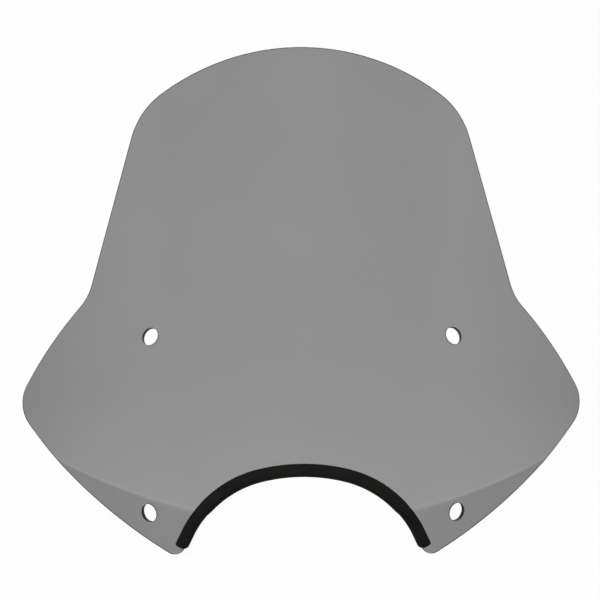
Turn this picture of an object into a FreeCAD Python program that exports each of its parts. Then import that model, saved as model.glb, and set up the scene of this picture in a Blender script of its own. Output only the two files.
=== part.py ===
import FreeCAD, Part
import math
import os
from FreeCAD import Vector

# Motorcycle windshield: one formed, smoke-tinted sheet and the rubber channel on its headlight cut-out.
# X runs across the machine, the sheet's convex front faces -Y, and Z is up. Millimetres and degrees.

# Formed sheet
SHEET_THICKNESS = 3.0
EDGE_BREAK = 0.6             # chamfer along the rim of both faces
NOSE_RADIUS = 148.0          # plan radius on the centre line; the plan section is a parabola
PANEL_RAKE = 41.0            # main face, leaning back from the vertical
FLANGE_RAKE = 7.0            # lower flanges, leaning back from the vertical
BEND_REACH = 7.0             # how far the bend runs up and down from the fold line
BEND_EASE = 0.5              # share of that reach over which it eases in

# Outline, drawn on the cutting plane, with heights up that plane from the fold line
CUTTER_PITCH = 20.5          # the cutter's axis dips this much towards the back
CROWN_HEIGHT = 334.0
SHOULDER_HEIGHT = 287.7
SHOULDER_HALF_WIDTH = 119.8
SHOULDER_RADIUS = 56.0
NECK_HEIGHT = 152.0
NECK_HALF_WIDTH = 154.7
NECK_RADIUS = 38.0
WING_HEIGHT = 73.0
WING_HALF_WIDTH = 209.5
WING_TIP_RADIUS = 24.0
WING_TOP_EDGE_RADIUS = 300.0
WING_LOWER_EDGE_RADIUS = 400.0
FLANGE_BOTTOM_DROP = 26.7    # sharp bottom corner, below the fold line
FLANGE_CORNER_RADIUS = 7.0

# Headlight cut-out: a three-centred arch on flared legs
ARCH_HEIGHT = 33.1
ARCH_TOP_RADIUS = 120.5
ARCH_TOP_HALF_ANGLE = 14.0
ARCH_HAUNCH_RADIUS = 72.7
ARCH_LEG_FLARE = 26.0

# Fixing holes, drilled square to the sheet
HOLE_DIAMETER = 12.7
UPPER_HOLE_HALF_SPACING = 107.2
UPPER_HOLE_HEIGHT = 124.8
LOWER_HOLE_HALF_SPACING = 105.9
LOWER_HOLE_HEIGHT = 4.1

# Rubber edge trim, a U-channel gripping the edge of the cut-out
TRIM_COVER = 6.0             # how far its legs reach over the sheet
TRIM_NOSE = 1.9              # rubber beyond the sheet's edge
TRIM_LEG = 1.6               # thickness of each leg
TRIM_EDGE_BREAK = 1.3        # chamfer along its outer edges
TRIM_END_SETBACK = 8.5       # its end, back along the leg from the sharp bottom corner
TRIM_END_ROUND = 2.5         # corners of its ends, seen from the front

STOCK_MARGIN = 25.0          # how far the formed blank runs past the outline

OFFSET_TOLERANCE = 1e-4
TANGENT_ANGLE = 60.0         # faces that meet at less than this run on into each other

CUTTER_REACH = 2 * (CROWN_HEIGHT + WING_HALF_WIDTH)
CUTTER_AXIS = Vector(0, math.cos(math.radians(CUTTER_PITCH)), -math.sin(math.radians(CUTTER_PITCH)))


def on_plane(across, height):
    """A point of the outline drawing, placed on the cutting plane."""
    pitch = math.radians(CUTTER_PITCH)
    return Vector(across, height * math.sin(pitch), height * math.cos(pitch))


def both_sides(point):
    across, height = point
    return on_plane(across, height), on_plane(-across, height)


def line(start, end):
    return Part.LineSegment(start, end).toShape()


def arc(start, middle, end):
    return Part.Arc(start, middle, end).toShape()


def bowed_edge(start, end, radius):
    """An arc of the given radius; it bulges out of an outline that runs clockwise, seen from the front."""
    chord = end - start
    sagitta = radius - math.sqrt(radius ** 2 - chord.Length ** 2 / 4)
    outward = chord.cross(CUTTER_AXIS)
    outward.normalize()
    return arc(start, (start + end) / 2 + outward * sagitta, end)


def up_the_sheet(rake, distance):
    lean = math.radians(rake)
    return Vector(0, distance * math.sin(lean), distance * math.cos(lean))


def plan_curve(along):
    """The sheet's plan parabola, carried along from the fold line."""
    reach = WING_HALF_WIDTH + STOCK_MARGIN
    depth = reach ** 2 / (2 * NOSE_RADIUS)
    curve = Part.BezierCurve()
    poles = Vector(-reach, depth), Vector(0, -depth), Vector(reach, depth)
    curve.setPoles([along + pole for pole in poles])
    return curve


def formed_blank():
    """The blank's front: raked panel, bend and flange, each the plan parabola carried along a line."""
    panel_length = (CROWN_HEIGHT + STOCK_MARGIN) / math.cos(math.radians(PANEL_RAKE - CUTTER_PITCH))
    flange_length = FLANGE_BOTTOM_DROP + 2 * STOCK_MARGIN
    top = up_the_sheet(PANEL_RAKE, panel_length)
    above_bend = up_the_sheet(PANEL_RAKE, BEND_REACH)
    below_bend = up_the_sheet(FLANGE_RAKE, -BEND_REACH)
    bottom = up_the_sheet(FLANGE_RAKE, -flange_length)
    panel = plan_curve(top).toShape().extrude(above_bend - top)
    flange = plan_curve(below_bend).toShape().extrude(bottom - below_bend)
    lines = (above_bend, above_bend * BEND_EASE, Vector(), below_bend * BEND_EASE, below_bend)
    rows = [plan_curve(along).getPoles() for along in lines]
    bend = Part.BezierSurface()
    bend.increase(len(rows[0]) - 1, len(rows) - 1)
    for column, poles in enumerate(zip(*rows), 1):
        for row, pole in enumerate(poles, 1):
            bend.setPole(column, row, pole)
    blank = Part.makeShell(panel.Faces + bend.toShape().Faces + flange.Faces)
    blank.sewShape()
    return blank


def arch_points(offset):
    """Crown, top joint, haunch middle and springing of the cut-out's right half, offset outwards."""
    top_centre = ARCH_HEIGHT - ARCH_TOP_RADIUS
    joint = math.radians(ARCH_TOP_HALF_ANGLE)
    spring = math.radians(90 - ARCH_LEG_FLARE)
    centre_gap = ARCH_TOP_RADIUS - ARCH_HAUNCH_RADIUS

    def from_top(angle):
        radius = ARCH_TOP_RADIUS + offset
        return radius * math.sin(angle), top_centre + radius * math.cos(angle)

    def from_haunch(angle):
        radius = ARCH_HAUNCH_RADIUS + offset
        across = centre_gap * math.sin(joint) + radius * math.sin(angle)
        return across, top_centre + centre_gap * math.cos(joint) + radius * math.cos(angle)

    return from_top(0), from_top(joint), from_haunch((joint + spring) / 2), from_haunch(spring)


def down_the_leg(offset, distance):
    """A point on the cut-out's right leg, offset outwards, at a distance below its springing."""
    across, height = arch_points(offset)[3]
    flare = math.radians(ARCH_LEG_FLARE)
    return across + distance * math.sin(flare), height - distance * math.cos(flare)


def leg_length():
    springing = arch_points(0)[3][1]
    return (springing + FLANGE_BOTTOM_DROP) / math.cos(math.radians(ARCH_LEG_FLARE))


def arch_edges(offset, leg):
    """The cut-out's edge from the foot of the right leg, over the crown, to the foot of the left leg."""
    crown, joint, haunch, spring = [both_sides(point) for point in arch_points(offset)]
    foot = both_sides(down_the_leg(offset, leg))
    return [
        line(foot[0], spring[0]),
        arc(spring[0], haunch[0], joint[0]),
        arc(joint[0], crown[0], joint[1]),
        arc(joint[1], haunch[1], spring[1]),
        line(spring[1], foot[1]),
    ]


def cutter(edges, corners):
    """The closed outline swept along the cutter's axis, with each (point, radius) corner rounded."""
    face = Part.Face(Part.Wire(Part.__sortEdges__(edges)))
    prism = face.translated(CUTTER_AXIS * -CUTTER_REACH).extrude(CUTTER_AXIS * 2 * CUTTER_REACH)
    for point, radius in corners:
        for corner in both_sides(point):
            vertex = Part.Vertex(corner)
            edge = min(prism.Edges, key=lambda candidate: candidate.distToShape(vertex)[0])
            prism = prism.makeFillet(radius, [edge])
    return prism


def sheet_cutter():
    shoulder = (SHOULDER_HALF_WIDTH, SHOULDER_HEIGHT)
    neck = (NECK_HALF_WIDTH, NECK_HEIGHT)
    wing = (WING_HALF_WIDTH, WING_HEIGHT)
    foot = down_the_leg(0, leg_length())
    right_shoulder, left_shoulder = both_sides(shoulder)
    right_neck, left_neck = both_sides(neck)
    right_wing, left_wing = both_sides(wing)
    right_foot, left_foot = both_sides(foot)
    edges = [
        arc(left_shoulder, on_plane(0, CROWN_HEIGHT), right_shoulder),
        line(right_shoulder, right_neck),
        bowed_edge(right_neck, right_wing, WING_TOP_EDGE_RADIUS),
        bowed_edge(right_wing, right_foot, WING_LOWER_EDGE_RADIUS),
        bowed_edge(left_foot, left_wing, WING_LOWER_EDGE_RADIUS),
        bowed_edge(left_wing, left_neck, WING_TOP_EDGE_RADIUS),
        line(left_neck, left_shoulder),
    ]
    return cutter(edges + arch_edges(0, leg_length()), [
        (shoulder, SHOULDER_RADIUS),
        (neck, NECK_RADIUS),
        (wing, WING_TIP_RADIUS),
        (foot, FLANGE_CORNER_RADIUS),
    ])


def channel_strip(inner, outer, leg):
    """Edges of a band between two offsets of the cut-out's edge, and the two ends of its right leg."""
    near = down_the_leg(inner, leg)
    far = down_the_leg(outer, leg)
    ends = [line(start, end) for start, end in zip(both_sides(near), both_sides(far))]
    return arch_edges(inner, leg) + arch_edges(outer, leg) + ends, near, far


def thickened(skin, proud, depth):
    """A solid between two offsets of a front skin: proud of it, and depth further in."""
    outer = skin.makeOffsetShape(proud, OFFSET_TOLERANCE).Shells[0] if proud else skin
    return outer.makeOffsetShape(-depth, OFFSET_TOLERANCE, fill=True)


def corner_edges(solid):
    """The edges where two faces meet at an angle, and don't run on into each other."""
    found = []
    for edge in solid.Edges:
        middle = edge.valueAt((edge.FirstParameter + edge.LastParameter) / 2)
        faces = solid.ancestorsOfType(edge, Part.Face)
        first, second = [face.normalAt(*face.Surface.parameter(middle)) for face in faces]
        if abs(first.dot(second)) < math.cos(math.radians(TANGENT_ANGLE)):
            found.append(edge)
    return found


def hole_places(blank):
    """Name, centre on the front face and outward normal of each fixing hole."""
    rows = (("upper", UPPER_HOLE_HALF_SPACING, UPPER_HOLE_HEIGHT),
            ("lower", LOWER_HOLE_HALF_SPACING, LOWER_HOLE_HEIGHT))
    places = []
    for row, across, height in rows:
        for side, point in zip(("right", "left"), both_sides((across, height))):
            probe = line(point - CUTTER_AXIS * CUTTER_REACH, point + CUTTER_AXIS * CUTTER_REACH)
            face = min(blank.Faces, key=lambda candidate: candidate.distToShape(probe)[0])
            centre = face.distToShape(probe)[1][0][0]
            normal = face.normalAt(*face.Surface.parameter(centre))
            places.append((row + "_" + side, centre, normal))
    return places


def windshield_panel(blank):
    panel = thickened(blank.common(sheet_cutter()).Shells[0], 0, SHEET_THICKNESS)
    panel = panel.makeChamfer(min(EDGE_BREAK, SHEET_THICKNESS / 3), corner_edges(panel))
    for name, centre, normal in hole_places(blank):
        start = centre + normal * SHEET_THICKNESS
        panel = panel.cut(Part.makeCylinder(HOLE_DIAMETER / 2, 3 * SHEET_THICKNESS, start, -normal))
    return panel.Solids[0]


def cutout_edge_trim(blank):
    """The channel: a band proud of both faces, its outer edges broken, slotted for the sheet."""
    edges, near, far = channel_strip(-TRIM_NOSE, TRIM_COVER, leg_length() - TRIM_END_SETBACK)
    band = blank.common(cutter(edges, [(near, TRIM_END_ROUND), (far, TRIM_END_ROUND)])).Shells[0]
    slot_edges, near, far = channel_strip(0, 2 * TRIM_COVER, leg_length() + TRIM_COVER)
    gripped = blank.common(cutter(slot_edges, [])).Shells[0]
    channel = thickened(band, TRIM_LEG, SHEET_THICKNESS + 2 * TRIM_LEG)
    channel = channel.makeChamfer(min(TRIM_EDGE_BREAK, TRIM_LEG), corner_edges(channel))
    return channel.cut(thickened(gripped, 0, SHEET_THICKNESS)).Solids[0]


def base_centre(shapes):
    """The middle of the bottom of the box round all the pieces, which becomes the origin."""
    box = Part.makeCompound(shapes).optimalBoundingBox(False, False)
    return Vector(box.Center.x, box.Center.y, box.ZMin)


def main():
    os.makedirs("parts", exist_ok=True)
    blank = formed_blank()
    nodes = {"windshield_panel": windshield_panel(blank), "cutout_edge_trim": cutout_edge_trim(blank)}
    origin = base_centre(list(nodes.values()))
    for name, shape in nodes.items():
        shape.translated(-origin).exportStep("parts/" + name + ".step")


main()
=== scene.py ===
import math

import bmesh
import bpy
from bpy.props import FloatProperty, FloatVectorProperty, IntProperty, PointerProperty
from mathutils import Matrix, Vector, geometry


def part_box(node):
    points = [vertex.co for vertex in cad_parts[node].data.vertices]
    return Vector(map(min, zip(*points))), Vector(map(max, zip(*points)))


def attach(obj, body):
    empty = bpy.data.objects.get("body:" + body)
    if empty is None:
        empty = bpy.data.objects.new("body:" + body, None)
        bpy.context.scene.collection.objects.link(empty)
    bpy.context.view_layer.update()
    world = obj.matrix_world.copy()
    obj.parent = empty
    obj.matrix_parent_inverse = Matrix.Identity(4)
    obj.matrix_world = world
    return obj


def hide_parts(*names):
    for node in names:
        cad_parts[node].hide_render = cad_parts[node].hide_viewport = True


bl_info = {
    "name": "Motorcycle windshield",
    "version": (1, 0, 0),
    "blender": (4, 5, 0),
    "location": "3D View > Sidebar > Windshield",
    "description": "A formed smoke-tinted screen with a rubber channel on its headlight cut-out",
    "category": "Add Mesh",
}

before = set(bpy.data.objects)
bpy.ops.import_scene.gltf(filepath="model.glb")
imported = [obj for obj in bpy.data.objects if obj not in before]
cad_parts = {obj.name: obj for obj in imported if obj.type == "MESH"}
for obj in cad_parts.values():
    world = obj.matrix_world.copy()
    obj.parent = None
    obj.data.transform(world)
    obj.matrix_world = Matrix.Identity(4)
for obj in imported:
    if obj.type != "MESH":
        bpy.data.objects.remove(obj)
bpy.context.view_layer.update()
PANEL_NODE = "windshield_panel"
TRIM_NODE = "cutout_edge_trim"
BODY = "root"
MM = 0.001

# How finely the sheet is drawn
OUTLINE_STEP = 2.0 * MM
GRID_CLEAR = 1.3 * MM
BEND_FINENESS = 8
BEND_MARGIN = 1.5
ARCH_TOP_STEPS = 12
ARCH_HAUNCH_STEPS = 40
HOLE_POINTS = 64
RIM_STEPS = 4

# How matt the cut edges are, as a share of a sawn edge
RIM_CUT = 0.5
HOLE_CUT = 1.0

# The rubber channel's rings near its ends, as shares of the end's round, and along its straight legs
END_STEPS = (0.0, 0.06, 0.16, 0.3, 0.5, 0.75, 1.0)
END_PINCH = 0.8
LEG_RINGS = 8
LIP_STEPS = 5
NOSE_STEPS = 9
CHANNEL_SHARP = math.radians(50)

# The studio
FLOOR_SIZE = 40.0
FLOOR_SINK = 0.5 * MM
FLOOR_WHITE = 0.965
KEY_SIZE = (2.0, 1.4)
KEY_PLACE = Vector((-0.7, -1.1, 1.7))
KEY_AIM = Vector((0, 0, 0.15))
VIEW_END = 100.0

# Light levels in reflections: of the walls by height, of the card by the way across its edge
WALL_STOPS = ((0.0, 0.32), (0.1, 0.5), (0.16, 0.88), (0.3, 1.22), (0.45, 1.4), (0.55, 1.44),
              (0.66, 1.22), (0.8, 1.16), (0.86, 1.07), (0.91, 1.14), (1.0, 1.12))
CARD_STOPS = ((0.0, 0.6), (0.06, 1.5), (0.16, 1.75), (0.255, 1.05), (0.273, 0.84), (0.278, 0.76),
              (0.284, 0.52), (0.293, 0.4), (0.306, 0.08), (0.315, 0.0))
CARD_WAY = (0, 0.664, 0.747)


def length(name, description, value):
    """A length property; its default is given in millimetres."""
    return FloatProperty(name=name, description=description, default=value * MM,
                         unit="LENGTH", precision=5)


def angle(name, description, value):
    """An angle property; its default is given in degrees."""
    return FloatProperty(name=name, description=description, default=math.radians(value),
                         subtype="ANGLE")


def colour(name, description, value):
    return FloatVectorProperty(name=name, description=description, default=value,
                               subtype="COLOR", min=0, max=1)


def plain(name, description, value, unit="NONE"):
    return FloatProperty(name=name, description=description, default=value, unit=unit)


class FormedSheet(bpy.types.PropertyGroup):
    thickness: length("Thickness", "Wall of the formed sheet", 3.0)
    rim_round: length("Rim round", "Polished round along the outline, on both faces", 0.8)
    nose_radius: length("Nose radius", "Plan radius on the centre line", 148.0)
    panel_rake: angle("Panel rake", "Lean of the main face from the vertical", 41.0)
    flange_rake: angle("Flange rake", "Lean of the lower flanges from the vertical", 7.0)
    bend_reach: length("Bend reach", "Length of the bend on each side of the fold line", 4.5)
    bend_ease: plain("Bend ease", "Share of that length over which the bend eases in", 0.5)
    cutter_pitch: angle("Cutter pitch", "Dip of the direction in which the outline was cut", 20.5)
    grid: length("Grid", "Spacing of the points inside the faces", 4.0)


class Outline(bpy.types.PropertyGroup):
    crown_height: length("Crown height", "Top of the dome, above the fold line", 334.0)
    shoulder_height: length("Shoulder height", "Corner between the dome and the side", 287.7)
    shoulder_half_width: length("Shoulder half width", "Same corner, from the centre line", 119.8)
    shoulder_radius: length("Shoulder radius", "Round of that corner", 56.0)
    neck_height: length("Neck height", "Corner between the side and the wing", 152.0)
    neck_half_width: length("Neck half width", "Same corner, from the centre line", 154.7)
    neck_radius: length("Neck radius", "Round of that corner", 38.0)
    wing_height: length("Wing height", "Point of the wing, above the fold line", 73.0)
    wing_half_width: length("Wing half width", "Point of the wing, from the centre line", 209.5)
    wing_tip_radius: length("Wing tip radius", "Round of the point", 24.0)
    wing_top_edge_radius: length("Wing top edge radius", "Bow of the wing's upper edge", 300.0)
    wing_lower_edge_radius: length("Wing lower edge radius", "Bow of the wing's lower edge", 400.0)
    bottom_drop: length("Bottom drop", "Bottom corner, below the fold line", 26.7)
    bottom_corner_radius: length("Bottom corner radius", "Round of that corner", 7.0)


class CutOut(bpy.types.PropertyGroup):
    height: length("Arch height", "Crown of the headlight arch, above the fold line", 33.1)
    top_radius: length("Top radius", "Radius of the arch's crown", 120.5)
    top_half_angle: angle("Top half angle", "Half the angle of the crown's arc", 14.0)
    haunch_radius: length("Haunch radius", "Radius of the arch's sides", 72.7)
    leg_flare: angle("Leg flare", "Lean of the straight legs", 26.0)


class Holes(bpy.types.PropertyGroup):
    diameter: length("Diameter", "Fixing holes, drilled square to the sheet", 12.7)
    edge_round: length("Edge round", "Broken edge of each hole", 0.35)
    upper_half_spacing: length("Upper half spacing", "Upper pair, from the centre line", 107.2)
    upper_height: length("Upper height", "Upper pair, above the fold line", 124.8)
    lower_half_spacing: length("Lower half spacing", "Lower pair, from the centre line", 105.9)
    lower_height: length("Lower height", "Lower pair, above the fold line", 4.1)


class RubberTrim(bpy.types.PropertyGroup):
    cover: length("Cover", "How far the legs reach over the sheet", 6.0)
    nose: length("Nose", "Rubber beyond the sheet's edge", 1.9)
    leg: length("Leg", "Thickness of each leg", 1.6)
    nose_round: length("Nose round", "Round of the channel's closed side", 2.4)
    lip_round: length("Lip round", "Round of the tips of the legs", 0.8)
    fit: length("Fit", "Gap between the channel and the sheet", 0.05)
    end_setback: length("End setback", "Channel's end, back from the sheet's bottom corner", 8.5)
    end_round: length("End round", "Corners of the ends, seen from the front", 1.8)
    bend_reach: length("Bend reach", "Length over which the rubber eases round the bend", 26.0)
    samples: IntProperty(name="Samples", description="Rings along each haunch", default=64)


class Finish(bpy.types.PropertyGroup):
    smoke: colour("Smoke", "Clear share of the sheet's dye", (0.05, 0.05, 0.05))
    smoke_density: plain("Smoke density", "Dye in the sheet, per metre", 462.0)
    rubber: colour("Rubber", "Black of the channel", (0.0046, 0.0045, 0.0039))
    floor: colour("Floor", "Pale studio floor", (0.87, 0.87, 0.87))


class Studio(bpy.types.PropertyGroup):
    lens: plain("Lens", "Focal length", 133.65, "CAMERA")
    distance: length("Distance", "Camera from its aim", 1500.0)
    pitch: angle("Pitch", "Camera's downward look", 20.5)
    yaw: angle("Yaw", "Camera's turn to the right", 0.51)
    aim_across: length("Aim across", "Aim, from the centre line", -1.86)
    aim_forward: length("Aim forward", "Aim, from the middle of the depth", -66.85)
    aim_height: length("Aim height", "Aim, above the floor", 172.25)
    room_light: plain("Room light", "Level of the room's even light", 0.48)
    key_power: plain("Key power", "Soft lamp above the front", 31.0, "POWER")
    card_glow: plain("Card glow", "Added brightness of the front card in reflections", 0.72)


class Windshield(bpy.types.PropertyGroup):
    sheet: PointerProperty(type=FormedSheet)
    outline: PointerProperty(type=Outline)
    cut_out: PointerProperty(type=CutOut)
    holes: PointerProperty(type=Holes)
    trim: PointerProperty(type=RubberTrim)
    finish: PointerProperty(type=Finish)
    studio: PointerProperty(type=Studio)
    shift: FloatVectorProperty(name="Shift", description="From the drawing to the packed sheet",
                               unit="LENGTH")


# Flat geometry of the outline

def turned_right(v):
    return Vector((v.y, -v.x))


def heading(v):
    return math.atan2(v.y, v.x)


def mirrored(points):
    return [Vector((-p.x, p.y)) for p in reversed(points)]


def box_of(points):
    """Lowest and highest corners of a box round the points."""
    return Vector([min(axis) for axis in zip(*points)]), Vector([max(axis) for axis in zip(*points)])


def arc_run(centre, radius, start, end, count):
    """Points on an arc from one angle to another, both ends included."""
    steps = [start + (end - start) * i / count for i in range(count + 1)]
    return [centre + Vector((math.cos(a), math.sin(a))) * radius for a in steps]


def circle_through(a, b, c):
    """Centre and radius of the circle through three points."""
    ab, ac = b - a, c - a
    twice = 2 * ab.cross(ac)
    offset = Vector((ac.y * ab.length_squared - ab.y * ac.length_squared,
                     ab.x * ac.length_squared - ac.x * ab.length_squared)) / twice
    return a + offset, offset.length


def bow_centre(start, end, radius):
    """Centre of an arc that bulges to the left of the way from start to end."""
    chord = end - start
    inward = turned_right(chord).normalized()
    return (start + end) / 2 + inward * math.sqrt(radius ** 2 - chord.length_squared / 4)


class Line:
    """A straight side; the sheet lies to the right of its way."""

    def __init__(self, start, end):
        self.start, self.way = start, (end - start).normalized()

    def moved_in(self, distance):
        start = self.start + turned_right(self.way) * distance
        return Line(start, start + self.way)

    def foot(self, point):
        return self.start + self.way * (point - self.start).dot(self.way)

    def crossings(self, bow):
        middle = self.foot(bow.centre)
        half = math.sqrt(bow.radius ** 2 - (bow.centre - middle).length_squared)
        return [middle + self.way * half, middle - self.way * half]

    def run(self, start, end, step):
        count = max(1, round((end - start).length / step))
        return [start.lerp(end, i / count) for i in range(count + 1)]


class Bow:
    """A side that bulges out of the sheet; the outline runs clockwise on it."""

    def __init__(self, centre, radius):
        self.centre, self.radius = centre, radius

    def moved_in(self, distance):
        return Bow(self.centre, self.radius - distance)

    def foot(self, point):
        return self.centre + (point - self.centre).normalized() * self.radius

    def crossings(self, other):
        if isinstance(other, Line):
            return other.crossings(self)
        gap = other.centre - self.centre
        along = (gap.length_squared + self.radius ** 2 - other.radius ** 2) / (2 * gap.length)
        aside = math.sqrt(self.radius ** 2 - along ** 2)
        middle = self.centre + gap.normalized() * along
        side = turned_right(gap.normalized()) * aside
        return [middle + side, middle - side]

    def run(self, start, end, step):
        first, last = heading(start - self.centre), heading(end - self.centre)
        while last > first:
            last -= 2 * math.pi
        count = max(4, round((first - last) * self.radius / step))
        return arc_run(self.centre, self.radius, first, last, count)


def corner_rounds(sides, corners):
    """Start, centre and end of each round between two sides.

    Each corner has its sharp point and its radius, below 0 where it is hollow.
    """
    rounds = []
    for before, after, (point, radius) in zip(sides, sides[1:], corners):
        hits = before.moved_in(radius).crossings(after.moved_in(radius))
        centre = min(hits, key=lambda hit: (hit - point).length)
        rounds.append((before.foot(centre), centre, after.foot(centre)))
    return rounds


def round_run(start, centre, end, step):
    """Points of a round, by its shorter way."""
    radius = (start - centre).length
    first = heading(start - centre)
    turn = (heading(end - centre) - first + math.pi) % (2 * math.pi) - math.pi
    count = max(6, round(abs(turn) * radius / step))
    return arc_run(centre, radius, first, first + turn, count)


def arch_points(cut, offset, top_steps, haunch_steps):
    """The cut-out's right half from the crown down to the springing, offset into the sheet."""
    joint = math.pi / 2 - cut.top_half_angle
    top_centre = Vector((0, cut.height - cut.top_radius))
    gap = cut.top_radius - cut.haunch_radius
    haunch_centre = top_centre + Vector((math.cos(joint), math.sin(joint))) * gap
    top = arc_run(top_centre, cut.top_radius + offset, math.pi / 2, joint, top_steps)
    haunch = arc_run(haunch_centre, cut.haunch_radius + offset, joint, cut.leg_flare, haunch_steps)
    return top + haunch[1:]


def leg_way(cut):
    return Vector((math.sin(cut.leg_flare), -math.cos(cut.leg_flare)))


def leg_length(cut, drop):
    """Length of a straight leg, from the springing to a drop below the fold line."""
    springing = arch_points(cut, 0, 1, 1)[-1].y
    return (springing + drop) / math.cos(cut.leg_flare)


def sheet_outline(outline, cut):
    """The closed outline on the cutting plane, clockwise seen from the front."""
    crown = Vector((0, outline.crown_height))
    shoulder = Vector((outline.shoulder_half_width, outline.shoulder_height))
    neck = Vector((outline.neck_half_width, outline.neck_height))
    wing = Vector((outline.wing_half_width, outline.wing_height))
    arch = arch_points(cut, 0, ARCH_TOP_STEPS, ARCH_HAUNCH_STEPS)
    spring = arch[-1]
    foot = spring + leg_way(cut) * leg_length(cut, outline.bottom_drop)
    top_edge, lower_edge = outline.wing_top_edge_radius, outline.wing_lower_edge_radius
    sides = [
        Bow(*circle_through(Vector((-shoulder.x, shoulder.y)), crown, shoulder)),
        Line(shoulder, neck),
        Bow(bow_centre(neck, wing, top_edge), top_edge),
        Bow(bow_centre(wing, foot, lower_edge), lower_edge),
        Line(foot, spring),
    ]
    corners = [
        (shoulder, outline.shoulder_radius),
        (neck, -outline.neck_radius),
        (wing, outline.wing_tip_radius),
        (foot, outline.bottom_corner_radius),
    ]
    right, at = [], crown
    for side, (start, centre, end) in zip(sides, corner_rounds(sides, corners)):
        right += side.run(at, start, OUTLINE_STEP)[:-1]
        right += round_run(start, centre, end, OUTLINE_STEP)[:-1]
        at = end
    right += sides[-1].run(at, spring, OUTLINE_STEP)[:-1]
    right += arch[::-1]
    return right + mirrored(right)[1:-1]


# The formed surface

class Sheet:
    """The sheet's front face: the plan parabola carried along the bent side profile."""

    def __init__(self, sizes, reach):
        self.nose = sizes.nose_radius
        self.reach = reach
        self.ease = sizes.bend_ease
        self.panel = Vector((math.sin(sizes.panel_rake), math.cos(sizes.panel_rake)))
        self.flange = Vector((math.sin(sizes.flange_rake), math.cos(sizes.flange_rake)))
        self.up = Vector((math.sin(sizes.cutter_pitch), math.cos(sizes.cutter_pitch)))

    def profile(self, s):
        """Side profile at a distance along it from the fold: its point and its unit way up."""
        if s >= self.reach:
            return self.panel * s, self.panel
        if s <= -self.reach:
            return self.flange * s, self.flange
        return self.bend((s + self.reach) / (2 * self.reach))

    def bend(self, t):
        """The bend's curve, from its low end at 0 to its high end at 1: point and unit way up."""
        low, high = self.flange * -self.reach, self.panel * self.reach
        poles = [low, low * self.ease, Vector((0, 0)), high * self.ease, high]
        while len(poles) > 2:
            poles = [a.lerp(b, t) for a, b in zip(poles, poles[1:])]
        return poles[0].lerp(poles[1], t), (poles[1] - poles[0]).normalized()

    def along(self, x, height):
        """Distance along the profile of the outline drawing's point (x, height)."""
        rise = height - x * x / (2 * self.nose) * self.up.x
        panel_rise, flange_rise = self.panel.dot(self.up), self.flange.dot(self.up)
        if rise >= self.reach * panel_rise:
            return rise / panel_rise
        if rise <= -self.reach * flange_rise:
            return rise / flange_rise
        under, over = 0.0, 1.0
        for _ in range(40):
            t = (under + over) / 2
            if self.bend(t)[0].dot(self.up) < rise:
                under = t
            else:
                over = t
        return (2 * t - 1) * self.reach

    def at(self, x, s):
        """Point and outward normal of the front face."""
        point, way = self.profile(s)
        place = Vector((x, x * x / (2 * self.nose) + point.x, point.y))
        return place, Vector((x / self.nose * way.y, -way.y, way.x)).normalized()

    def drawn(self, x, height):
        return self.at(x, self.along(x, height))

    def height(self, place):
        """Height of a point of space on the outline drawing."""
        return place.y * self.up.x + place.z * self.up.y

    def below(self, place, way):
        """The front face's point on the line through place along way, and its normal."""
        for _ in range(8):
            hit, normal = self.drawn(place.x, self.height(place))
            place = place + way * ((hit - place).dot(normal) / way.dot(normal))
        return self.drawn(place.x, self.height(place))


# The sheet's mesh

def hole_loop(sheet, x, height, radius):
    """A drilled hole's edge on the front face, anticlockwise seen from the front."""
    centre, axis = sheet.drawn(x, height)
    across = Vector((0, 0, 1)).cross(axis).normalized()
    up = axis.cross(across)
    loop = []
    for i in range(HOLE_POINTS):
        a = 2 * math.pi * i / HOLE_POINTS
        rim = centre + across * (radius * math.cos(a)) + up * (radius * math.sin(a))
        loop.append(sheet.below(rim, axis))
    return loop


def edge_loops(sheet, outline, cut, holes):
    """Points and normals along the outline and then along each hole, on the front face."""
    loops = [[sheet.drawn(*p) for p in sheet_outline(outline, cut)]]
    for across, height in ((holes.upper_half_spacing, holes.upper_height),
                           (holes.lower_half_spacing, holes.lower_height)):
        loops += [hole_loop(sheet, x, height, holes.diameter / 2) for x in (across, -across)]
    return loops


def ways_off(loop):
    """Unit ways along the face that point off the sheet, at each point of an edge."""
    places = [place for place, normal in loop]
    ways = [after - before for before, after in zip(places[-1:] + places, places[1:] + places[:1])]
    return [normal.cross(way).normalized() for way, (place, normal) in zip(ways, loop)]


def inside(point, loop):
    """Whether a flat point lies within a closed loop."""
    hit = False
    for a, b in zip(loop, loop[1:] + loop[:1]):
        if (a.y > point.y) != (b.y > point.y):
            if point.x < (b.x - a.x) * (point.y - a.y) / (b.y - a.y) + a.x:
                hit = not hit
    return hit


def on_sheet(point, loops):
    return inside(point, loops[0]) and not any(inside(point, hole) for hole in loops[1:])


def grid_points(sheet, step, loops):
    """Flat points of the sheet clear of its edges, on a grid that is finer along the bend."""
    low, high = box_of(loops[0])
    rows, at = [], low.y
    while at < high.y:
        rows.append(at)
        at += step / BEND_FINENESS if abs(at) < BEND_MARGIN * sheet.reach else step
    found = []
    for number, y in enumerate(rows):
        edges = [p for loop in loops for p in loop if abs(p.y - y) < GRID_CLEAR]
        x = low.x + (step / 2 if number % 2 else 0)
        while x < high.x:
            here = Vector((x, y))
            if all((p - here).length > GRID_CLEAR for p in edges) and on_sheet(here, loops):
                found.append(here)
            x += step
    return found


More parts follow.
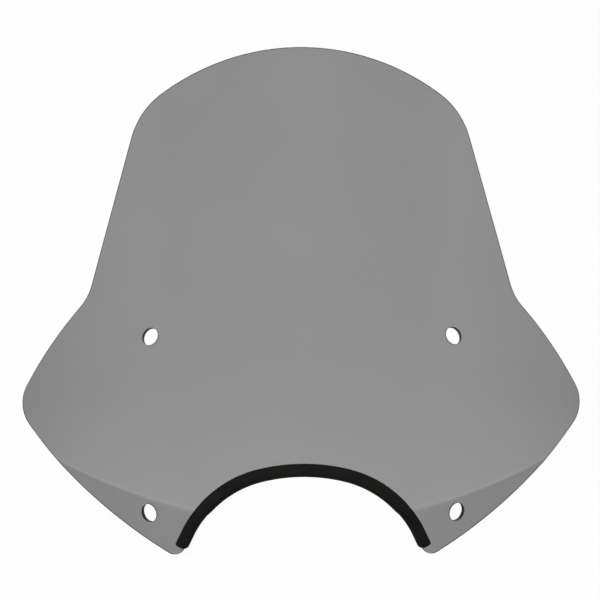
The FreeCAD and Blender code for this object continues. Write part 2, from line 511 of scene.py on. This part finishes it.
def fill(sheet, step, loops):
    """Flat points and triangles between the edges, and the number of each edge point among them."""
    given, ties = [], []
    for loop in loops:
        start = len(given)
        given += loop
        ties += [(start + i, start + (i + 1) % len(loop)) for i in range(len(loop))]
    given += grid_points(sheet, step, loops)
    spots, _, faces, origins, _, _ = geometry.delaunay_2d_cdt(given, ties, [], 1, 1e-8, True)
    numbers = {index: number for number, indices in enumerate(origins) for index in indices}
    triangles = []
    for face in faces:
        middle = sum((spots[i] for i in face), Vector((0, 0))) / len(face)
        if on_sheet(middle, loops):
            triangles.append(list(face))
    return spots, triangles, numbers


def rim_section(thickness, radius):
    """Points of the rim from the front skin to the back, as (way off, depth), each with its normal."""
    front, back = [], []
    for i in range(RIM_STEPS + 1):
        a = math.pi / 2 * i / RIM_STEPS
        sine, cosine = math.sin(a), math.cos(a)
        front.append(((sine - 1) * radius, (1 - cosine) * radius, sine, cosine))
        back.append(((cosine - 1) * radius, thickness - (1 - sine) * radius, cosine, -sine))
    return front + back


def build_panel(sizes, outline, cut, holes):
    """Points, normals, faces and cut edges of the formed sheet, in the drawing's own frame."""
    sheet = Sheet(sizes, sizes.bend_reach)
    edges = edge_loops(sheet, outline, cut, holes)
    offs = [ways_off(loop) for loop in edges]
    drilled = len(edges) - 1
    rounds = [sizes.rim_round] + [holes.edge_round] * drilled
    loops = []
    for loop, off, radius in zip(edges, offs, rounds):
        insets = [place - way * radius for (place, normal), way in zip(loop, off)]
        loops.append([Vector((p.x, sheet.along(p.x, sheet.height(p)))) for p in insets])
    spots, triangles, numbers = fill(sheet, sizes.grid, loops)

    skin = [sheet.at(*spot) for spot in spots]
    back = len(skin)
    points = [place for place, normal in skin]
    points += [place - normal * sizes.thickness for place, normal in skin]
    normals = [normal for place, normal in skin] + [-normal for place, normal in skin]
    cut_edge = [0.0] * len(points)
    faces = []
    for triangle in triangles:
        faces += [triangle, [i + back for i in reversed(triangle)]]

    start = 0
    for loop, off, radius, matt in zip(edges, offs, rounds, [RIM_CUT] + [HOLE_CUT] * drilled):
        count = len(loop)
        rings = [[numbers[start + i] for i in range(count)]]
        for out, depth, to_out, to_front in rim_section(sizes.thickness, radius)[1:-1]:
            rings.append(range(len(points), len(points) + count))
            for (place, normal), way in zip(loop, off):
                points.append(place + way * out - normal * depth)
                normals.append((way * to_out + normal * to_front).normalized())
            cut_edge += [matt] * count
        rings.append([i + back for i in rings[0]])
        for upper, lower in zip(rings, rings[1:]):
            faces += [[upper[i - 1], upper[i], lower[i], lower[i - 1]] for i in range(count)]
        start += count
    return points, normals, faces, cut_edge


def sheet_piece(name, points, normals, faces, cut_edge):
    mesh = bpy.data.meshes.new(name)
    mesh.from_pydata(points, [], faces)
    mesh.validate()
    mesh.shade_smooth()
    mesh.normals_split_custom_set_from_vertices(normals)
    mesh.attributes.new("cut_edge", "FLOAT", "POINT").data.foreach_set("value", cut_edge)
    mesh.update()
    piece = bpy.data.objects.new(name, mesh)
    bpy.context.scene.collection.objects.link(piece)
    return piece


# The channel's mesh

def trim_section(trim, thickness):
    """The channel's section, a closed loop of (offset into the sheet, height over the front face)."""
    high, low = trim.leg, -thickness - trim.leg
    near, far = -trim.nose, trim.cover
    lip, nose, fit = trim.lip_round, trim.nose_round, trim.fit

    def corner(offset, height, radius, quarter, count):
        first = quarter * math.pi / 2
        return arc_run(Vector((offset, height)), radius, first, first + math.pi / 2, count)

    loop = corner(far - lip, high - lip, lip, 0, LIP_STEPS)
    loop += corner(near + nose, high - nose, nose, 1, NOSE_STEPS)
    loop += corner(near + nose, low + nose, nose, 2, NOSE_STEPS)
    loop += corner(far - lip, low + lip, lip, 3, LIP_STEPS)
    slot = ((far, -thickness - fit), (-fit, -thickness - fit), (-fit, fit), (far, fit))
    return loop + [Vector(corner) for corner in slot]


def drawn_in(distance, radius):
    """How far a rounded corner is drawn in, at a distance from the end."""
    left = max(0.0, radius - distance)
    return radius - math.sqrt(radius ** 2 - left ** 2)


def build_trim(sizes, outline, cut, trim):
    """Points and faces of the channel, its section carried along the cut-out's edge.

    Also gives each ring's distance along the edge, and the points in a ring.
    """
    sheet = Sheet(sizes, sizes.bend_reach)
    eased = Sheet(sizes, trim.bend_reach)
    section = trim_section(trim, sizes.thickness)
    end = leg_length(cut, outline.bottom_drop) - trim.end_setback
    tail = [end - trim.end_round * share for share in END_STEPS]
    tail += [tail[-1] * (1 - i / LEG_RINGS) for i in range(1, LEG_RINGS)]

    def path(offset):
        arch = arch_points(cut, offset, trim.samples // 4, trim.samples)
        right = [arch[-1] + leg_way(cut) * distance for distance in tail] + arch[::-1]
        return right + mirrored(right)[1:]

    spine = path(0)
    inward = [there - here for here, there in zip(spine, path(1))]
    run = [0.0]
    for a, b in zip(spine, spine[1:]):
        run.append(run[-1] + (b - a).length)

    middle, half = (trim.cover - trim.nose) / 2, (trim.cover + trim.nose) / 2
    slot_low, slot_high = -sizes.thickness - 2 * trim.fit, 2 * trim.fit
    points = []
    for spot, way, passed in zip(spine, inward, run):
        from_end = min(passed, run[-1] - passed)
        share = 1 - END_PINCH * drawn_in(from_end, trim.end_round) / half
        for offset, height in section:
            flat = spot + way * (middle + (offset - middle) * share)
            place, normal = sheet.drawn(*flat)
            if not slot_low < height < slot_high:
                normal = eased.drawn(*flat)[1]
            points.append(place + normal * height)

    around = len(section)
    rings = [range(first, first + around) for first in range(0, len(points), around)]
    faces = [list(reversed(rings[0])), list(rings[-1])]
    for a, b in zip(rings, rings[1:]):
        faces += [[a[k - 1], a[k], b[k], b[k - 1]] for k in range(around)]
    return points, faces, run, around


def channel_piece(name, points, faces, run, around):
    """A smooth mesh with a map of the distance along the channel and the place round it."""
    mesh = bpy.data.meshes.new(name)
    mesh.from_pydata(points, [], faces)
    mesh.validate()
    form = bmesh.new()
    form.from_mesh(mesh)
    bmesh.ops.recalc_face_normals(form, faces=form.faces)
    layer = form.loops.layers.uv.new("run")
    for face in form.faces:
        face.smooth = True
        for loop in face.loops:
            ring, column = divmod(loop.vert.index, around)
            loop[layer].uv = (run[ring], column / around)
    form.to_mesh(mesh)
    form.free()
    mesh.set_sharp_from_angle(angle=CHANNEL_SHARP)
    piece = bpy.data.objects.new(name, mesh)
    bpy.context.scene.collection.objects.link(piece)
    return piece


# Materials

def new_material(name):
    material = bpy.data.materials.new(name)
    material.use_nodes = True
    material.node_tree.nodes.clear()
    return material, material.node_tree


def node(tree, kind, label="", **values):
    made = tree.nodes.new(kind)
    made.label = label
    for key, value in values.items():
        setattr(made, key, value)
    return made


def preset(made, **values):
    """Sets a node's input sockets; an underscore stands for a space in a socket's name."""
    for key, value in values.items():
        made.inputs[key.replace("_", " ")].default_value = value
    return made


def link(tree, source, target):
    tree.links.new(source, target)


def ranged(tree, value, low, high, label):
    """A value from 0 to 1, spread from low to high."""
    made = preset(node(tree, "ShaderNodeMapRange", label), To_Min=low, To_Max=high)
    link(tree, value, made.inputs["Value"])
    return made.outputs["Result"]


def handling_group():
    """Mask of faint handling marks: soft smudges broken by fine dust."""
    group = bpy.data.node_groups.new("handling_marks", "ShaderNodeTree")
    face = group.interface
    face.new_socket("Vector", in_out="INPUT", socket_type="NodeSocketVector")
    for name, value in (("Smudge Scale", 18.0), ("Dust Scale", 900.0), ("Dust Share", 0.3)):
        face.new_socket(name, in_out="INPUT", socket_type="NodeSocketFloat").default_value = value
    face.new_socket("Mask", in_out="OUTPUT", socket_type="NodeSocketFloat")
    start = node(group, "NodeGroupInput")
    end = node(group, "NodeGroupOutput")
    smudge = preset(node(group, "ShaderNodeTexNoise", "smudges"), Detail=3.0, Roughness=0.45)
    dust = preset(node(group, "ShaderNodeTexNoise", "dust"), Detail=2.0)
    soft = preset(node(group, "ShaderNodeMapRange", "soft smudges"), From_Min=0.35, From_Max=0.75)
    speck = preset(node(group, "ShaderNodeMapRange", "specks"), From_Min=0.62, From_Max=0.78)
    share = node(group, "ShaderNodeMath", "dust share", operation="MULTIPLY")
    both = node(group, "ShaderNodeMath", "both", operation="ADD", use_clamp=True)
    link(group, start.outputs["Vector"], smudge.inputs["Vector"])
    link(group, start.outputs["Vector"], dust.inputs["Vector"])
    link(group, start.outputs["Smudge Scale"], smudge.inputs["Scale"])
    link(group, start.outputs["Dust Scale"], dust.inputs["Scale"])
    link(group, smudge.outputs["Fac"], soft.inputs["Value"])
    link(group, dust.outputs["Fac"], speck.inputs["Value"])
    link(group, speck.outputs["Result"], share.inputs[0])
    link(group, start.outputs["Dust Share"], share.inputs[1])
    link(group, soft.outputs["Result"], both.inputs[0])
    link(group, share.outputs["Value"], both.inputs[1])
    link(group, both.outputs["Value"], end.inputs["Mask"])
    return group


def handling_marks(tree, smudge, dust, share):
    """The handling marks placed in a material: their mask, and the coordinates that they lie on."""
    group = bpy.data.node_groups.get("handling_marks") or handling_group()
    place = node(tree, "ShaderNodeTexCoord")
    made = node(tree, "ShaderNodeGroup", "handling marks", node_tree=group)
    preset(made, Smudge_Scale=smudge, Dust_Scale=dust, Dust_Share=share)
    link(tree, place.outputs["Object"], made.inputs["Vector"])
    return made.outputs["Mask"], place.outputs["Object"]


def smoke_sheet(finish):
    """Clear dyed plastic: polished, tinted through its thickness, with matt cut edges."""
    material, tree = new_material("smoke_sheet")
    mask, place = handling_marks(tree, 14.0, 700.0, 0.25)
    shader = preset(node(tree, "ShaderNodeBsdfPrincipled"), Transmission_Weight=1.0, IOR=1.49)
    tone = node(tree, "ShaderNodeMix", "cloudy dye", data_type="RGBA")
    preset(tone, A=(1.0, 1.0, 1.0, 1), B=(0.965, 0.965, 0.965, 1))
    link(tree, mask, tone.inputs["Factor"])
    link(tree, tone.outputs["Result"], shader.inputs["Base Color"])
    edge = node(tree, "ShaderNodeAttribute", "cut edges", attribute_name="cut_edge")
    rough = preset(node(tree, "ShaderNodeMix", "sawn or polished", data_type="FLOAT"), B=0.5)
    link(tree, edge.outputs["Fac"], rough.inputs["Factor"])
    link(tree, ranged(tree, mask, 0.006, 0.028, "polish"), rough.inputs["A"])
    link(tree, rough.outputs["Result"], shader.inputs["Roughness"])
    wave = preset(node(tree, "ShaderNodeTexNoise", "forming waves"), Scale=26.0, Detail=1.0)
    bump = preset(node(tree, "ShaderNodeBump"), Strength=0.12, Distance=0.0002)
    link(tree, place, wave.inputs["Vector"])
    link(tree, wave.outputs["Fac"], bump.inputs["Height"])
    link(tree, bump.outputs["Normal"], shader.inputs["Normal"])
    through = node(tree, "ShaderNodeBsdfTransparent", "lamps pass the sheet")
    path = node(tree, "ShaderNodeLightPath")
    mixed = node(tree, "ShaderNodeMixShader")
    link(tree, path.outputs["Is Shadow Ray"], mixed.inputs["Fac"])
    link(tree, shader.outputs["BSDF"], mixed.inputs[1])
    link(tree, through.outputs["BSDF"], mixed.inputs[2])
    dye = node(tree, "ShaderNodeVolumeAbsorption", "dye")
    preset(dye, Color=(*finish.smoke, 1), Density=finish.smoke_density)
    out = node(tree, "ShaderNodeOutputMaterial")
    link(tree, mixed.outputs["Shader"], out.inputs["Surface"])
    link(tree, dye.outputs["Volume"], out.inputs["Volume"])
    return material


def channel_rubber(finish):
    """Extruded black rubber: matt, with fine lines along its run and a dusty bloom."""
    material, tree = new_material("channel_rubber")
    mask, _ = handling_marks(tree, 60.0, 1500.0, 0.6)
    shader = preset(node(tree, "ShaderNodeBsdfPrincipled"), Specular_IOR_Level=0.06)
    run = node(tree, "ShaderNodeUVMap", uv_map="run")
    stretch = preset(node(tree, "ShaderNodeMapping", "along the run"), Scale=(3.0, 420.0, 1.0))
    lines = preset(node(tree, "ShaderNodeTexNoise", "extrusion lines"), Scale=1.0, Detail=2.0)
    link(tree, run.outputs["UV"], stretch.inputs["Vector"])
    link(tree, stretch.outputs["Vector"], lines.inputs["Vector"])
    tone = node(tree, "ShaderNodeMix", "bloom", data_type="RGBA")
    preset(tone, A=(*finish.rubber, 1), B=(*[2.1 * c for c in finish.rubber], 1))
    blend = node(tree, "ShaderNodeMath", "bloom share", operation="MULTIPLY")
    link(tree, mask, blend.inputs[0])
    link(tree, lines.outputs["Fac"], blend.inputs[1])
    link(tree, blend.outputs["Value"], tone.inputs["Factor"])
    link(tree, tone.outputs["Result"], shader.inputs["Base Color"])
    matt = ranged(tree, lines.outputs["Fac"], 0.5, 0.72, "matt")
    link(tree, matt, shader.inputs["Roughness"])
    bump = preset(node(tree, "ShaderNodeBump"), Strength=0.35, Distance=0.0001)
    link(tree, lines.outputs["Fac"], bump.inputs["Height"])
    link(tree, bump.outputs["Normal"], shader.inputs["Normal"])
    out = node(tree, "ShaderNodeOutputMaterial")
    link(tree, shader.outputs["BSDF"], out.inputs["Surface"])
    return material


# The studio's floor and light

def seen_directly(tree, path):
    """1 for rays from the camera, and for those that come through the clear sheet."""
    seen = node(tree, "ShaderNodeMath", "seen", operation="MAXIMUM")
    link(tree, path.outputs["Is Camera Ray"], seen.inputs[0])
    link(tree, path.outputs["Is Transmission Ray"], seen.inputs[1])
    return seen.outputs["Value"]


def floor_paper(finish):
    """Pale paper that reads white to the camera and keeps a light shadow."""
    material, tree = new_material("floor_paper")
    seen = seen_directly(tree, node(tree, "ShaderNodeLightPath"))
    share = node(tree, "ShaderNodeMath", "white share", operation="MULTIPLY")
    share.inputs[1].default_value = FLOOR_WHITE
    matt = preset(node(tree, "ShaderNodeBsdfDiffuse"), Color=(*finish.floor, 1))
    white = node(tree, "ShaderNodeEmission")
    mixed = node(tree, "ShaderNodeMixShader")
    out = node(tree, "ShaderNodeOutputMaterial")
    link(tree, seen, share.inputs[0])
    link(tree, share.outputs["Value"], mixed.inputs["Fac"])
    link(tree, matt.outputs["BSDF"], mixed.inputs[1])
    link(tree, white.outputs["Emission"], mixed.inputs[2])
    link(tree, mixed.outputs["Shader"], out.inputs["Surface"])
    return material


def level_ramp(tree, label, stops, value):
    """Light levels by a value from 0 to 1."""
    made = node(tree, "ShaderNodeValToRGB", label)
    ramp = made.color_ramp
    while len(ramp.elements) < len(stops):
        ramp.elements.new(0.5)
    for element, (at, level) in zip(ramp.elements, stops):
        element.position = at
        element.color = (level, level, level, 1)
    link(tree, value, made.inputs["Fac"])
    return made.outputs["Color"]


def studio_world(studio):
    """Even room light, white where it is seen; gloss shows graded walls and a large soft card."""
    world = bpy.data.worlds.new("studio")
    world.use_nodes = True
    tree = world.node_tree
    tree.nodes.clear()
    path = node(tree, "ShaderNodeLightPath")
    way = node(tree, "ShaderNodeTexCoord").outputs["Generated"]
    across = node(tree, "ShaderNodeVectorMath", "across the card's edge", operation="DOT_PRODUCT")
    across.inputs[1].default_value = CARD_WAY
    link(tree, way, across.inputs[0])
    height = node(tree, "ShaderNodeSeparateXYZ", "height")
    link(tree, way, height.inputs["Vector"])
    card = level_ramp(tree, "front card", CARD_STOPS, across.outputs["Value"])
    walls = level_ramp(tree, "bright walls", WALL_STOPS, height.outputs["Z"])
    glow = node(tree, "ShaderNodeMath", "card glow", operation="MULTIPLY")
    glow.inputs[1].default_value = studio.card_glow
    link(tree, card, glow.inputs[0])
    gloss = node(tree, "ShaderNodeMath", "walls and card", operation="ADD")
    link(tree, glow.outputs["Value"], gloss.inputs[0])
    link(tree, walls, gloss.inputs[1])
    lit = preset(node(tree, "ShaderNodeMix", "room or gloss", data_type="FLOAT"), A=studio.room_light)
    link(tree, path.outputs["Is Glossy Ray"], lit.inputs["Factor"])
    link(tree, gloss.outputs["Value"], lit.inputs["B"])
    shown = preset(node(tree, "ShaderNodeMix", "white where seen", data_type="FLOAT"), B=1.0)
    link(tree, seen_directly(tree, path), shown.inputs["Factor"])
    link(tree, lit.outputs["Result"], shown.inputs["A"])
    back = preset(node(tree, "ShaderNodeBackground"), Color=(1, 1, 1, 1))
    link(tree, shown.outputs["Result"], back.inputs["Strength"])
    out = node(tree, "ShaderNodeOutputWorld")
    link(tree, back.outputs["Background"], out.inputs["Surface"])
    return world


def key_lamp(studio):
    """A large soft lamp above the front, which gloss and glass don't show."""
    lamp = bpy.data.lights.new("key", "AREA")
    lamp.shape = "RECTANGLE"
    lamp.size, lamp.size_y = KEY_SIZE
    lamp.energy = studio.key_power
    key = bpy.data.objects.new("key", lamp)
    key.location = KEY_PLACE
    key.rotation_euler = (KEY_AIM - KEY_PLACE).to_track_quat("-Z", "Y").to_euler()
    key.visible_glossy = False
    key.visible_transmission = False
    return key


def studio_camera(studio):
    lens = bpy.data.cameras.new("camera")
    lens.lens = studio.lens
    lens.clip_end = VIEW_END
    camera = bpy.data.objects.new("camera", lens)
    level = math.cos(studio.pitch)
    ahead = Vector((math.sin(studio.yaw) * level, math.cos(studio.yaw) * level, -math.sin(studio.pitch)))
    aim = Vector((studio.aim_across, studio.aim_forward, studio.aim_height))
    camera.location = aim - ahead * studio.distance
    camera.rotation_euler = ahead.to_track_quat("-Z", "Y").to_euler()
    return camera


# Operators

def seat_shift(points):
    """Moves the drawing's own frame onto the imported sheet."""
    near, far = box_of(points)
    low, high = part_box(PANEL_NODE)
    return (low + high - near - far) / 2


class WINDSHIELD_OT_panel(bpy.types.Operator):
    """Builds the formed smoke-tinted sheet with its rounded rim and drilled holes"""
    bl_idname = "windshield.panel"
    bl_label = "Formed sheet"

    def execute(self, context):
        s = context.scene.windshield
        points, normals, faces, cut_edge = build_panel(s.sheet, s.outline, s.cut_out, s.holes)
        shift = seat_shift(points)
        s.shift = shift
        piece = sheet_piece("formed_sheet", [p + shift for p in points], normals, faces, cut_edge)
        piece.data.materials.append(smoke_sheet(s.finish))
        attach(piece, BODY)
        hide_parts(PANEL_NODE)
        return {"FINISHED"}


class WINDSHIELD_OT_trim(bpy.types.Operator):
    """Builds the rubber channel on the edge of the headlight cut-out, once the sheet is built"""
    bl_idname = "windshield.trim"
    bl_label = "Rubber channel"

    def execute(self, context):
        s = context.scene.windshield
        points, faces, run, around = build_trim(s.sheet, s.outline, s.cut_out, s.trim)
        shift = Vector(s.shift)
        piece = channel_piece("rubber_channel", [p + shift for p in points], faces, run, around)
        piece.data.materials.append(channel_rubber(s.finish))
        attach(piece, BODY)
        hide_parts(TRIM_NODE)
        return {"FINISHED"}


class WINDSHIELD_OT_stage(bpy.types.Operator):
    """Sets the pale floor, the soft light and the camera"""
    bl_idname = "windshield.stage"
    bl_label = "Stage"

    def execute(self, context):
        s = context.scene.windshield
        scene = context.scene
        scene.view_settings.view_transform = "Standard"
        bpy.ops.mesh.primitive_plane_add(size=FLOOR_SIZE, location=(0, 0, -FLOOR_SINK))
        floor = context.object
        floor.name = "floor"
        floor.data.materials.append(floor_paper(s.finish))
        scene.world = studio_world(s.studio)
        scene.collection.objects.link(key_lamp(s.studio))
        scene.camera = studio_camera(s.studio)
        scene.collection.objects.link(scene.camera)
        return {"FINISHED"}


OPERATORS = (WINDSHIELD_OT_panel, WINDSHIELD_OT_trim, WINDSHIELD_OT_stage)


class WINDSHIELD_PT_sidebar(bpy.types.Panel):
    """Lists the windshield's pieces and the sizes that a user may change"""
    bl_idname = "WINDSHIELD_PT_sidebar"
    bl_label = "Windshield"
    bl_space_type = "VIEW_3D"
    bl_region_type = "UI"
    bl_category = "Windshield"

    def draw(self, context):
        s = context.scene.windshield
        for group in (s.sheet, s.outline, s.cut_out, s.holes, s.trim, s.finish, s.studio):
            box = self.layout.box()
            for name in group.__annotations__:
                box.prop(group, name)
        for operator in OPERATORS:
            self.layout.operator(operator.bl_idname)


CLASSES = (FormedSheet, Outline, CutOut, Holes, RubberTrim, Finish, Studio, Windshield,
           *OPERATORS, WINDSHIELD_PT_sidebar)


def register():
    for kind in CLASSES:
        bpy.utils.register_class(kind)
    bpy.types.Scene.windshield = PointerProperty(type=Windshield)


def unregister():
    del bpy.types.Scene.windshield
    for kind in reversed(CLASSES):
        bpy.utils.unregister_class(kind)


def main():
    register()
    bpy.ops.windshield.panel()
    bpy.ops.windshield.trim()
    bpy.ops.windshield.stage()


if __name__ == "__main__":
    main()
